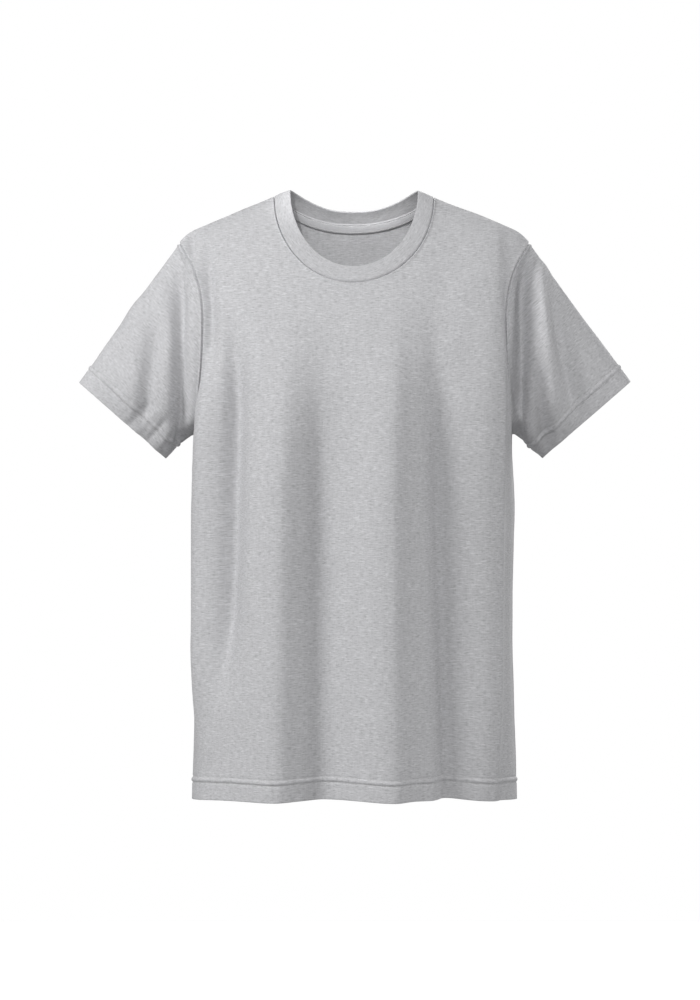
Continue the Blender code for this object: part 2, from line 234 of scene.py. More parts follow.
# %% Panels as grids
NECK_COLUMNS = 40
SIDE_COLUMNS = 34
ROWS_ABOVE = 72
ROWS_BELOW = 116
SIDE_PULL = 3                    # power by which the armhole's curve dies away towards the middle
COLUMN_RUN = 200 * MM            # about how long a half row is
ROW_RUN = 250 * MM               # and a column above the underarm

# distances at which lines of the grid lie beside a seam, a hem's edge and a row of stitches
SEAM_STEPS = np.array([0.5, 1.1, 1.8, 2.6, 3.6]) * MM
EDGE_STEPS = np.array([0, 0.15, 0.5, 1.1, 2]) * MM
STITCH_STEPS = np.array([-1.6, -0.8, 0, 0.8, 1.6]) * MM
PLAIN_HEM = (4 * MM, 3 * MM)     # the even rows between start and end this far from the edge and the stitches
PLAIN_ROWS = 5
ABOVE_HEM = 2.6 * MM

# the two rows of stitches, above the edge
HEM_ROWS = {"hem": (20.8 * MM, 27.2 * MM), "cuff": (19.4 * MM, 25.8 * MM)}


def shares_to_seam(start, count, run):
    crowded = 1 - SEAM_STEPS[::-1] / run
    return np.concatenate([np.linspace(start, crowded[0], count, endpoint=False), crowded, [1.0]])


def hem_steps(rows):
    """Distances from a hem's edge to its grid rows: close at the edge and at the two rows of stitches."""
    low, high = rows
    return np.concatenate([
        EDGE_STEPS,
        np.linspace(PLAIN_HEM[0], low - PLAIN_HEM[1], PLAIN_ROWS),
        low + STITCH_STEPS,
        [(low + high) / 2],
        high + STITCH_STEPS,
        [high + ABOVE_HEM],
    ])


COLUMNS = np.concatenate([
    np.linspace(0, 0.5, NECK_COLUMNS, endpoint=False),
    shares_to_seam(0.5, SIDE_COLUMNS, COLUMN_RUN),
])
LEVEL_COLUMNS = COLUMNS + COLUMN_SPREAD * np.sin(math.pi * COLUMNS) / math.pi
ROWS = shares_to_seam(0, ROWS_ABOVE, ROW_RUN)


def upper_half(face):
    """(turn, z) on the half panel above the underarm."""
    low = points_on(section_line(UNDERARM_Z), face, LEVEL_COLUMNS)
    neck = points_on(neckline(face), face, 2 * COLUMNS[:NECK_COLUMNS])
    shoulder = points_on(shoulder_line, face, 2 * COLUMNS[NECK_COLUMNS:] - 1)
    top = np.concatenate([neck, shoulder])
    side = points_on(armhole_line(face), face, ROWS)
    s, t = COLUMNS[None, :, None], ROWS[:, None, None]
    straight = (1 - t) * low[-1] + t * top[-1]
    return (1 - t) * low + t * top + s**SIDE_PULL * (side[:, None] - straight)


def panel(face):
    """Points, and their (turn, z), in rows from the hem up, each from the wearer's right to left."""
    hem = hem_steps(HEM_ROWS["hem"]) - BODY_LENGTH
    heights = [*hem, *np.linspace(hem[-1], UNDERARM_Z, ROWS_BELOW)[1:-1]]
    lower = [points_on(section_line(z), face, LEVEL_COLUMNS) for z in heights]
    half = np.concatenate([lower, upper_half(face)])
    whole = np.concatenate([half[:, :0:-1] * [-1, 1], half], axis=1)
    return torso(whole[..., 0], whole[..., 1], face), whole


front_points, front_turns = panel(-1)
back_points, back_turns = panel(1)
print("panel grid:", front_points.shape[:2])

# %% [markdown]
# ## Sleeves and neckband
#
# A short sleeve is a tube lofted from its armhole to its cuff. Its rings blend from one to the other, and
# the last ones keep their distance from the cuff's edge, so that the hem has one width all round. The
# neckband is a narrow ring that starts on the neck seam. Its folded edge is shorter than the seam, which is
# what makes a ribbed band stand up round the neck.

# %% Sleeves and neckband
CUFF_TOP = np.array([332.5, -223]) * MM      # the cuff's highest and lowest corner, x and z
CUFF_FOOT = np.array([228, -314]) * MM
CUFF_HALF_DEPTH = 32 * MM
CUFF_Y = 4 * MM
SLEEVE_BELLY = 7 * MM                        # how far the sleeve rounds out between its ends
SLEEVE_ROWS = 56
SLEEVE_RUN = 120 * MM

BAND_WIDTH_SHARE = 77 / 96.6                 # the folded edge's width, as a share of the seam's ring
BAND_SHARE = {"front": 0.91, "back": 0.80}   # and its depth
BAND_RISE = {"neck point": 8.2 * MM, "front": 19.1 * MM, "back": 16.9 * MM}   # how far above the seam
BAND_WIDTH = 20 * MM
BAND_ROWS = 8
FOLD_STEPS = np.array([1.6, 0.9, 0.4, 0.1, 0]) * MM   # rows beside the folded edge


def sleeve(side):
    """Rings from the armhole to the cuff, starting at the underarm, where the sleeve's own seam is."""
    column = -1 if side > 0 else 0
    above = slice(-len(ROWS), None)
    ring = np.concatenate([front_points[above, column][::-1], back_points[above, column][1:-1]])
    angle = np.concatenate([math.pi * (1 - ROWS[::-1]), math.pi * (1 + ROWS[1:-1])])
    across = (CUFF_TOP + CUFF_FOOT) / 2 + (CUFF_TOP - CUFF_FOOT) / 2 * np.cos(angle)[:, None]
    depth = CUFF_Y - CUFF_HALF_DEPTH * np.sin(angle)
    cuff = np.stack([side * across[:, 0], depth, across[:, 1]], axis=-1)
    length = np.linalg.norm(cuff - ring, axis=1)
    hem = hem_steps(HEM_ROWS["cuff"])[::-1]
    main = 1 - shares_to_seam(0, SLEEVE_ROWS, SLEEVE_RUN)[::-1, None]
    shares = np.concatenate([main[:-1] * (1 - hem[0] / length), 1 - hem[:, None] / length])[..., None]
    rows = (1 - shares) * ring + shares * cuff
    rows[..., 1] -= SLEEVE_BELLY * np.sin(angle) * np.sin(math.pi * shares[..., 0])
    return np.roll(rows, 1 - len(ROWS), axis=1)


def neckband():
    """Rings from the neck seam to the folded edge, going from the wearer's right round the front."""
    middle = front_points.shape[1] // 2
    neck = slice(middle - NECK_COLUMNS, middle + NECK_COLUMNS + 1)
    ring = np.concatenate([front_points[-1, neck], back_points[-1, neck][::-1][1:-1]])
    in_front = ring[:, 1] < SHOULDER_SEAM_Y
    reach = np.sqrt(np.clip(1 - (ring[:, 0] / NECK_HALF)**2, 0, 1))
    highest = np.where(in_front, BAND_RISE["front"], BAND_RISE["back"])
    share = np.where(in_front, BAND_SHARE["front"], BAND_SHARE["back"])
    edge = ring * np.stack([np.full(len(ring), BAND_WIDTH_SHARE), share, np.ones(len(ring))], axis=-1)
    edge[:, 2] += BAND_RISE["neck point"] + (highest - BAND_RISE["neck point"]) * reach
    from_seam = 1 - shares_to_seam(0, BAND_ROWS, BAND_WIDTH)[::-1]
    at_fold = 1 - FOLD_STEPS / BAND_WIDTH
    rows = np.concatenate([from_seam[from_seam < at_fold[0]], at_fold])[:, None, None]
    return (1 - rows) * ring + rows * edge


grids = {
    "front": front_points,
    "back": back_points[:, ::-1],
    "sleeve_right": np.roll(sleeve(-1)[:, ::-1], 1, axis=1),
    "sleeve_left": sleeve(1),
    "neckband": neckband(),
}
RINGS = ("sleeve_right", "sleeve_left", "neckband")
for name, grid in grids.items():
    print(name, "grid:", grid.shape[:2])

# %% [markdown]
# ## Where each point lies
#
# Folds fade out at seams, hems are thicker than the rest and a groove follows every seam. All of that
# depends on two distances: how far a point is from the nearest seam, and how far from the piece's free edge.
# Both run along the cloth, so they are summed along the grid's rows and columns.

# %% Where each point lies
def run_along(lines):
    """Distance of each point from the first line, along the lines' own points."""
    steps = np.linalg.norm(np.diff(lines, axis=0), axis=-1)
    return np.concatenate([np.zeros((1, lines.shape[1])), np.cumsum(steps, axis=0)])


to_seam, to_edge = {}, {}
for name, grid in grids.items():
    up = run_along(grid)
    if name in RINGS:
        to_seam[name], to_edge[name] = up, up[-1] - up
    else:
        across = run_along(grid.swapaxes(0, 1)).T
        sides = np.minimum(across, across[:, -1:] - across)
        to_seam[name], to_edge[name] = np.minimum(up[-1] - up, sides), up
    print(name, "is", round(up[-1].max() / MM), "mm from edge to edge")

# %% [markdown]
# ## Normals that neighbours share
#
# Cloth moves out along its normals. Two panels that meet at a seam must move the same way there, or the
# seam opens. So a point on a seam gets one normal, half way between the pieces. At the underarm the sleeve
# folds back so sharply that half way would leave no thickness: there each piece keeps its own for its wall.

# %% Normals that neighbours share
SHARP_SEAM = (0.55, 0.75)        # own normals below this likeness to the shared one, shared above
TOUCH = 0.01 * MM


def unit(vectors):
    return vectors / np.linalg.norm(vectors, axis=-1)[..., None]


def ring_closed(grid):
    """The grid with its first column again at its end, where a ring closes."""
    return np.concatenate([grid, grid[:, :1]], axis=1)


def cell_normals(grid):
    """Square to each cell of a grid, and twice its area long."""
    return np.cross(grid[1:, 1:] - grid[:-1, :-1], grid[1:, :-1] - grid[:-1, 1:])


def own_normals(grid, closed):
    if closed:
        grid = ring_closed(grid)
    cross = cell_normals(grid)
    total = np.zeros_like(grid)
    for rows in (slice(None, -1), slice(1, None)):
        for columns in (slice(None, -1), slice(1, None)):
            total[rows, columns] += cross
    if closed:
        total[:, 0] += total[:, -1]
        total = total[:, :-1]
    return unit(total)


def seam_normals(pieces):
    """Own normals of each piece, and the same with those on seams shared."""
    own = {name: own_normals(grid, name in RINGS) for name, grid in pieces.items()}
    sums, keys = {}, {}
    for name, grid in pieces.items():
        on_seam = to_seam[name] < TOUCH
        keys[name] = [tuple(place) for place in np.round(grid[on_seam] / TOUCH).astype(int)]
        for key, normal in zip(keys[name], own[name][on_seam]):
            sums[key] = sums.get(key, 0) + normal
    shared = {}
    for name, normals in own.items():
        shared[name] = normals.copy()
        shared[name][to_seam[name] < TOUCH] = unit(np.array([sums[key] for key in keys[name]]))
    return own, shared


def wall_normals(own, shared):
    likeness = (own * shared).sum(axis=-1)[..., None]
    trust = np.clip((likeness - SHARP_SEAM[0]) / (SHARP_SEAM[1] - SHARP_SEAM[0]), 0, 1)
    return unit(own + (shared - own) * trust)


own, shared = seam_normals(grids)
middle_row, middle_column = (count // 2 for count in own["front"].shape[:2])
print("front faces", np.round(own["front"][middle_row, middle_column], 2), "at its middle")

# %% [markdown]
# ## The main folds
#
# A worn T-shirt hangs in a few long soft folds from the chest, and gathers into creases where the arm joins
# the body. Cloth simulation would place them by chance. Here each is put where it belongs: a ridge or a
# trough along a line, with its own reach to each side, so that one flank can be steep and the other long.
# The line may bow. Seen from the front, x runs to the wearer's left and z up. The back gets folds of the
# same kind.

# %% The main folds
# side (-1 front, 1 back), x and z of the upper end, x and z of the lower end, bow to the right, reach to
# the left, reach to the right, height; all but the side in millimetres, and a negative height is a trough
FOLDS = {
    "front": [
        (-1, -146, -110, -164, -640, 3, 9, 20, -21.5),
        (-1, -175, -150, -188, -700, 0, 12, 11, 13.0),
        (-1, -80, -90, -88, -980, -5, 42, 20, 17.0),
        (-1, -36, -110, -34, -980, -3, 17, 38, -13.0),
        (-1, 48, -90, 52, -980, -5, 40, 20, 19.0),
        (-1, 97, -100, 126, -960, -2, 15, 23, -22.0),
        (-1, 171, 20, 160, -860, 0, 30, 10, 16.0),
        (-1, -176, -40, -171, -230, -2, 9, 10, -8.0),
        (-1, -195, -15, -198, -120, 0, 5, 5, -6.0),
        (-1, -150, -70, -110, -260, 6, 22, 18, 2.5),
        (-1, 150, -60, 112, -230, -6, 20, 22, 2.5),
    ],
    "back": [
        (1, -154, -80, -160, -860, 0, 13, 20, 12.0),
        (1, -112, -90, -118, -960, 2, 22, 20, -15.0),
        (1, -58, -90, -62, -980, 4, 20, 38, 15.0),
        (1, 8, -110, 4, -980, -4, 32, 24, -9.0),
        (1, 72, -90, 84, -980, 5, 34, 20, 15.0),
        (1, 128, -100, 136, -900, 0, 18, 14, -13.0),
        (1, 166, -120, 172, -800, 0, 13, 11, 10.0),
        (1, -60, -60, -130, -190, 8, 26, 20, 3.0),
        (1, 60, -60, 128, -190, -8, 22, 26, 3.0),
    ],
    "sleeve_right": [
        (-1, -214, -40, -206, -350, 0, 11, 9, -16.0),
        (-1, -236, -130, -258, -310, 0, 9, 12, -6.5),
        (-1, -262, -100, -266, -280, 0, 14, 12, 3.5),
        (-1, -222, -90, -214, -300, 0, 8, 8, 3.0),
        (-1, -242, -241, -278, -283, 1, 5, 4, -2.2),
        (-1, -232, -252, -266, -292, -1, 4, 4, 1.6),
        (-1, -222, -262, -255, -301, 1, 4, 4, -2.4),
        (-1, -212, -268, -243, -309, 1, 4, 4, 1.8),
        (1, -224, -60, -206, -340, 0, 12, 12, -11.0),
        (1, -252, -90, -262, -310, 2, 12, 14, -7.0),
    ],
    "sleeve_left": [
        (-1, 213, -30, 194, -322, 2, 14, 8, -22.0),
        (-1, 219, -60, 242, -310, 0, 10, 14, 12.0),
        (-1, 228, -80, 276, -280, -3, 9, 16, -9.0),
        (-1, 222, -190, 232, -320, 0, 8, 8, -6.0),
        (1, 222, -60, 204, -340, 0, 12, 12, -12.0),
        (1, 246, -80, 272, -300, 0, 12, 16, -7.0),
    ],
}
FOLD_FADE = 0.3                  # share of a fold's length over which it rises at each end
FACING = 0.3                     # full height where the cloth faces its side at least this much
SLEEVE_FADE = 7 * MM             # a fold dies away over this distance before a seam
SEAM_FADE = {"front": 12 * MM, "back": 20 * MM, "sleeve_right": SLEEVE_FADE, "sleeve_left": SLEEVE_FADE}


def ease(t):
    t = np.clip(t, 0, 1)
    return t * t * (3 - 2 * t)


def fold_heights(points, normals, folds):
    total = np.zeros(points.shape[:-1])
    for face, *row in folds:
        x0, z0, x1, z1, bow, left, right, height = (value * MM for value in row)
        length = math.hypot(x1 - x0, z1 - z0)
        dx, dz = points[..., 0] - x0, points[..., 2] - z0
        along = (dx * (x1 - x0) + dz * (z1 - z0)) / length
        share = np.clip(along / length, 0, 1)
        off = (dx * (z0 - z1) + dz * (x1 - x0)) / length - 4 * bow * share * (1 - share)
        ends = ease(along / (FOLD_FADE * length)) * ease((length - along) / (FOLD_FADE * length))
        facing = np.clip(face * normals[..., 1] / FACING, 0, 1)
        total += height * facing * ends * np.exp(-((off / np.where(off < 0, left, right))**2))
    return total


heights = {name: np.zeros(grid.shape[:2]) for name, grid in grids.items()}
for name, folds in FOLDS.items():
    heights[name] += fold_heights(grids[name], own[name], folds) * ease(to_seam[name] / SEAM_FADE[name])
    print(name, "folds reach", in_mm([heights[name].min(), heights[name].max()]), "mm")

# %% [markdown]
# ## Slack and puckers
#
# Between its folds jersey is never quite smooth: it has slow swells, longer down the cloth than across.
# Along a row of stitches it puckers in short ripples square to the thread. Both come from smooth noise read
# at each point's place in space, so that two pieces get the same value on the seam they share.

# %% Slack and puckers
SWELLS = [(1.5, 70, 150), (0.5, 26, 50), (0.10, 9, 9)]   # height, size across, size down
PUCKER = 0.6 * MM
PUCKER_SIZE = 9 * MM
PUCKER_REACH = 11 * MM
HEM_WAY = np.array([1, 1, 0.12])     # ripples change along x and y, and slowly up and down
BAND_PUCKER = 0.25 * MM
BAND_WAY = np.array([1, 1, 0.3])


def hem_rows(name):
    return HEM_ROWS["cuff" if name in RINGS else "hem"]


def swell(points):
    flat = points.reshape(-1, 3) / MM
    total = np.zeros(len(flat))
    for height, across, down in SWELLS:
        scaled = flat / [across, across, down]
        total += height * MM * np.array([noise.noise(Vector(place)) for place in scaled])
    return total.reshape(points.shape[:-1])


def ripples(points, way):
    """Noise that changes as fast along each axis as way says."""
    scaled = (points / PUCKER_SIZE * way).reshape(-1, 3)
    return np.array([noise.noise(Vector(place)) for place in scaled]).reshape(points.shape[:-1])


for name, grid in grids.items():
    heights[name] += swell(grid)
    if name == "neckband":
        heights[name] += BAND_PUCKER * ripples(grid, BAND_WAY)
    else:
        near = np.exp(-(((to_edge[name] - sum(hem_rows(name)) / 2) / PUCKER_REACH)**2))
        heights[name] += PUCKER * near * ripples(grid, HEM_WAY)
    print(name, "lies off the form by", in_mm([heights[name].min(), heights[name].max()]), "mm")
behind_tape = grids["back"] + shared["back"] * heights["back"][..., None]

# %% [markdown]
# ## Seams and hems in relief
#
# A sewn seam is a narrow groove, and beside it the allowance folded under lifts the cloth into a low ridge.
# The sleeve has such a seam of its own along the underarm. A hem is turned up and held by two parallel rows
# of stitches: the cloth is drawn down under the thread and swells between the rows, and the hem stands a
# little proud of the single cloth above it. Where a fold swings the body's hem out it also hangs lower, and
# the bottom edge waves.

# %% Seams and hems in relief
# depth of the groove, its reach, height of the ridge, where it lies, its reach
SEAM_RELIEF = {"neckband": (1.0, 0.9, 0.3, 3.0, 1.6), "panel": (1.2, 1.0, 1.2, 2.8, 1.4)}
TUNNEL = 1.05 * MM               # how far the hem swells between its two rows of stitches
THREAD_DIP = 0.8 * MM
THREAD_DIP_REACH = 1.1 * MM
HEM_STEP = 0.4 * MM
BAND_BULGE = 0.7 * MM
HEM_SWING = 0.15                 # how much lower the hem hangs at a fold, as a share of the fold's height
SWING_REACH = 140 * MM


def bump_at(distance, place, reach):
    return np.exp(-(((distance - place) / reach)**2))


def seam_relief(distance, kind):
    depth, reach, ridge, place, ridge_reach = (value * MM for value in SEAM_RELIEF[kind])
    return ridge * bump_at(distance, place, ridge_reach) - depth * bump_at(distance, 0, reach)


def underarm_relief(grid, from_armhole):
    """The sleeve's own seam, along the underarm, where its ring closes."""
    around = run_along(ring_closed(grid).swapaxes(0, 1)).T
    distance = np.minimum(around, around[:, -1:] - around)[:, :-1]
    return seam_relief(distance, "panel") * ease(from_armhole / SLEEVE_FADE)


def hem_relief(distance, rows):
    low, high = rows
    between = np.clip((distance - low) / (high - low), 0, 1)
    dips = bump_at(distance, low, THREAD_DIP_REACH) + bump_at(distance, high, THREAD_DIP_REACH)
    step = HEM_STEP * (1 - ease((distance - high) / THREAD_DIP_REACH))
    return TUNNEL * np.sin(math.pi * between) + step - THREAD_DIP * dips


shells = {}
for name, grid in grids.items():
    if name == "neckband":
        share = to_seam[name] / (to_seam[name] + to_edge[name])
        heights[name] += seam_relief(to_seam[name], "neckband") + BAND_BULGE * np.sin(math.pi * share)
    else:
        heights[name] += seam_relief(to_seam[name], "panel")
        heights[name] += hem_relief(to_edge[name], hem_rows(name))
    if name in ("sleeve_right", "sleeve_left"):
        heights[name] += underarm_relief(grid, to_seam[name])
    shells[name] = grid + shared[name] * heights[name][..., None]
    if name not in RINGS:
        shells[name][..., 2] -= HEM_SWING * heights[name] * bump_at(to_edge[name], 0, SWING_REACH)
    print(name, "reaches down to", in_mm(shells[name][..., 2].min()), "mm")

# %% [markdown]
# ## Thickness, and meshes with a map of the cloth
#
# Each shell now gets its second face. Solidify would do for one piece alone, but it cannot see the
# neighbour's normals, so the inner face is made here: single cloth is 0.9 mm thick, a hem and the folded
# neckband are double, and at a fold the two faces come together in a round edge. The mesh also carries a
# map called cloth, in metres along and across the knit, so that the loops of the finish follow the way each
# piece was cut.

# %% Thickness, and meshes with a map of the cloth
SINGLE = 0.9 * MM
DOUBLE = 1.9 * MM
THINNEST = 0.1                   # share of the thickness left at a folded edge
TURN_UP_END = 1 * MM             # the hem's second layer ends over this distance
MAP_TURN = math.radians(40)      # heights on the map are measured along this line of the form

shirt = bpy.data.collections.new("crew_neck_t_shirt")
bpy.context.scene.collection.children.link(shirt)


def thickness(name):
    if name == "neckband":
        return np.full_like(to_edge[name], DOUBLE)
    past = (to_edge[name] - hem_rows(name)[1]) / TURN_UP_END
    return SINGLE + (DOUBLE - SINGLE) * (1 - ease(past))


def two_faces(name, normals):
    """The outer and inner points of a wall that closes round its folded edge."""
    half = thickness(name) / 2
    inward = np.clip(1 - to_edge[name] / half, 0, 1)
    reach = half * np.maximum(np.sqrt(1 - inward**2), THINNEST)
    middle = shells[name] - normals * half[..., None]
    return middle + normals * reach[..., None], middle - normals * reach[..., None]


def make_object(name, points, faces, corner_maps):
    mesh = bpy.data.meshes.new(name)
    mesh.from_pydata(points.reshape(-1, 3).tolist(), [], faces)
    mesh.uv_layers.new(name="cloth").data.foreach_set("uv", corner_maps.astype(np.float32).ravel())
    mesh.shade_smooth()
    piece = bpy.data.objects.new(name, mesh)
    shirt.objects.link(piece)
    return piece


def quads_of(index):
    """The four corners of every cell of a grid."""
    return np.stack([index[:-1, :-1], index[:-1, 1:], index[1:, 1:], index[1:, :-1]], axis=-1)


def wall(name, outer, inner, cloth_map, closed):
    """A closed mesh from two grids of points. cloth_map has one column more than a closed grid."""
    rows, columns = outer.shape[:2]
    size = rows * columns
    index = np.arange(size).reshape(rows, columns)
    places = np.arange(rows * cloth_map.shape[1]).reshape(rows, -1)
    if closed:
        index = ring_closed(index)
    faces, corners = quads_of(index).reshape(-1, 4), quads_of(places).reshape(-1, 4)
    rims = [(index[0], places[0]), (index[-1, ::-1], places[-1, ::-1])]
    if not closed:
        rims += [(index[::-1, 0], places[::-1, 0]), (index[:, -1], places[:, -1])]
    all_faces, all_corners = [faces, faces[:, ::-1] + size], [corners, corners[:, ::-1]]
    for line, line_places in rims:
        a, b = line[:-1], line[1:]
        all_faces.append(np.stack([b, a, a + size, b + size], axis=-1))
        a, b = line_places[:-1], line_places[1:]
        all_corners.append(np.stack([b, a, a, b], axis=-1))
    maps = cloth_map.reshape(-1, 2)[np.concatenate(all_corners)]
    return make_object(name + "_cloth", np.stack([outer, inner]), np.concatenate(all_faces).tolist(), maps)


def panel_map(turns, face):
    """Metres across and up the knit, from the form itself: its courses stay level as on the roll."""
    t = np.linspace(0, math.pi / 2, FINE)
    around = run_along(torso(t, np.full(FINE, UNDERARM_Z), face)[:, None])[:, 0]
    z = np.linspace(-BODY_LENGTH, NECK_CROWN, FINE)
    up = run_along(torso(np.full(FINE, MAP_TURN), z, face)[:, None])[:, 0]
    across = np.copysign(np.interp(np.abs(turns[..., 0]), t, around), turns[..., 0])
    return np.stack([across, np.interp(turns[..., 1], z, up)], axis=-1)


def ring_map(name):
    closed = ring_closed(shells[name])
    around = run_along(closed[len(closed) // 2][:, None])[:, 0]
    down = ring_closed(to_edge[name])
    return np.stack([np.broadcast_to(around, down.shape), -down], axis=-1)


cloth_maps = {"front": panel_map(front_turns, -1), "back": panel_map(back_turns, 1)[:, ::-1]}
shell_own, shell_shared = seam_normals(shells)
normals = {name: wall_normals(shell_own[name], shell_shared[name]) for name in shells}
pieces = {}
for name in shells:
    outer, inner = two_faces(name, normals[name])
    cloth_map = ring_map(name) if name in RINGS else cloth_maps[name]
    pieces[name] = wall(name, outer, inner, cloth_map, name in RINGS)
    print(name, "has", 2 * len(pieces[name].data.polygons), "triangles")

# %% [markdown]
# ## The neck tape
#
# Behind the neck a narrow tape covers the seam. It lies against the inside of the back panel, so it is built
# from the back's own grid: a few lines at set distances below the neck seam, pushed in through the thickness
# of the cloth. A row of stitches holds its lower edge, and it swells a little between its edges.

# %% The neck tape
TAPE_WIDTH = 10.6 * MM
TAPE_FROM_SEAM = -0.5 * MM       # its upper edge is tucked in over the seam
TAPE = 0.7 * MM
TAPE_GAP = 0.9 * MM              # room for the seam allowance behind it
TAPE_COLUMNS = NECK_COLUMNS - 3  # each side of the middle
TAPE_STITCH = 1.8 * MM           # from its lower edge
TAPE_SWELL = 0.35 * MM

middle = grids["back"].shape[1] // 2
span = slice(middle - TAPE_COLUMNS, middle + TAPE_COLUMNS + 1)
down_back = run_along(behind_tape[::-1, span])
edge_steps = np.array([0, 0.1, 0.4, 1]) * MM
tape_lines = np.concatenate([
    edge_steps,
    [TAPE_STITCH],
    np.array([2.6, 4, 6, 8, 8.8]) * MM,
    TAPE_WIDTH - edge_steps[::-1],
])


def below_seam(values, distance):
    """Values of the back's grid at a distance below the neck seam, for every column of the tape."""
    rows = values[::-1, span]
    found = np.array([
        [np.interp(distance, down_back[:, k], rows[:, k, axis]) for axis in range(3)]
        for k in range(rows.shape[1])
    ])
    beyond = np.minimum(distance, 0) / down_back[1]
    return found + (rows[1] - rows[0]) * beyond[:, None]


distances = TAPE_FROM_SEAM + TAPE_WIDTH - tape_lines
tape_out = np.array([unit(below_seam(shared["back"], distance)) for distance in distances])
tape_middle = np.array([below_seam(behind_tape, distance) for distance in distances])
depth = SINGLE + TAPE_GAP + TAPE / 2 + TAPE_SWELL * np.sin(math.pi * tape_lines / TAPE_WIDTH)
tape_middle -= tape_out * depth[:, None, None]
from_edge = np.minimum(tape_lines, TAPE_WIDTH - tape_lines)[:, None, None] / (TAPE / 2)
reach = TAPE / 2 * np.maximum(np.sqrt(1 - np.clip(1 - from_edge, 0, 1)**2), THINNEST)
along_tape = run_along(tape_middle.swapaxes(0, 1)).T
tape_map = np.stack([along_tape, np.broadcast_to(tape_lines[:, None], along_tape.shape)], axis=-1)
tape_faces = (tape_middle + tape_out * reach, tape_middle - tape_out * reach)
pieces["neck_tape"] = wall("neck_tape", *tape_faces, tape_map, False)
print("neck tape:", round(along_tape.max() / MM), "mm long")

# %% [markdown]
# ## Stitches
#
# A twin needle machine leaves two rows of short straight stitches round every hem. A line of texture would
# look flat in close-ups, so each stitch is a little length of thread: a tube that comes up out of the cloth,
# lies on it and goes down again. All those of one piece are joined in one mesh.

# %% Stitches
PITCH = 2.9 * MM
STITCH = 2.3 * MM                # what shows of each
THREAD = 0.3 * MM                # radius
RAISED = 0.35                    # how high its middle lies, as a share of the radius
SUNK = 0.28 * MM                 # how far its ends go in
SIDES = 6
OTHER_WAY = [0, 3, 2, 1]         # the order of a cell's corners, so that the tube faces outwards
ALONG = np.array([-0.5, -0.3, 0, 0.3, 0.5])   # where its rings of points lie, as shares of its length
TAPER = np.array([0.5, 0.95, 1, 0.95, 0.5])   # and how wide they are


def along_line(values, run, places):
    return np.stack([np.interp(places, run, values[:, axis]) for axis in range(3)], axis=-1)


def stitch_row(line, out, closed):
    """Points of every stitch on a line, as (stitch, ring, side, xyz)."""
    if closed:
        line, out = (np.concatenate([values, values[:1]]) for values in (line, out))
    run = run_along(line[:, None])[:, 0]
    count = int(run[-1] / PITCH)
    centres = (np.arange(count) + 0.5) * run[-1] / count
    places = centres[:, None] + ALONG * STITCH
    at, up = along_line(line, run, places), unit(along_line(out, run, places))
    ahead = unit(along_line(line, run, places + THREAD) - along_line(line, run, places - THREAD))
    aside = np.cross(ahead, up)
    at = at + up * (THREAD * RAISED - SUNK * (2 * ALONG)**4)[:, None]
    angle = 2 * math.pi * np.arange(SIDES) / SIDES
    ring = aside[..., None, :] * np.cos(angle)[:, None] + up[..., None, :] * np.sin(angle)[:, None]
    return at[..., None, :] + ring * (THREAD * TAPER)[:, None, None]


def stitches(name, rows):
    """One mesh of all the stitches in these rows."""
    points = np.concatenate(rows)
    count, rings, sides = points.shape[:3]
    index = np.arange(count * rings * sides).reshape(count, rings, sides)
    tube = np.array([quads_of(ring_closed(stitch))[..., OTHER_WAY] for stitch in index])
    ends = [*index[:, 0].tolist(), *index[:, -1, ::-1].tolist()]
    turns = np.stack(np.meshgrid(ALONG * STITCH, np.arange(sides + 1) / sides, indexing="ij"), axis=-1)
    places = quads_of(np.arange(rings * (sides + 1)).reshape(rings, -1))[..., OTHER_WAY]
    corners = turns.reshape(-1, 2)[places.ravel()]
    maps = np.concatenate([np.tile(corners, (count, 1)), np.zeros((2 * count * sides, 2))])
    print(name, "has", count, "stitches")
    return make_object(name, points, [*tube.reshape(-1, 4).tolist(), *ends], maps)


threads = {}
for name in ("front", "back", "sleeve_right", "sleeve_left"):
    steps = hem_steps(hem_rows(name))
    lines = [int(np.argmin(np.abs(steps - row))) for row in hem_rows(name)]
    if name in RINGS:
        lines = [-1 - line for line in lines]
    sewn = [stitch_row(shells[name][line], normals[name][line], name in RINGS) for line in lines]
    threads[name] = stitches(name + "_stitches", sewn)
stitch_line = int(np.argmin(np.abs(tape_lines - TAPE_STITCH)))
inward = -tape_out[stitch_line]
sewn = stitch_row(tape_middle[stitch_line] + inward * TAPE / 2, inward, False)
threads["neck_tape"] = stitches("neck_tape_stitches", [sewn])

# %% [markdown]
# ## Shader maths
#
# The finishes are formulas: so many millimetres to a course, streaks so long and so high. They read best as
# formulas too, so a socket is wrapped in a small class that takes part in arithmetic. Each operation adds a
# Math node, and any other kind of node comes from one method.

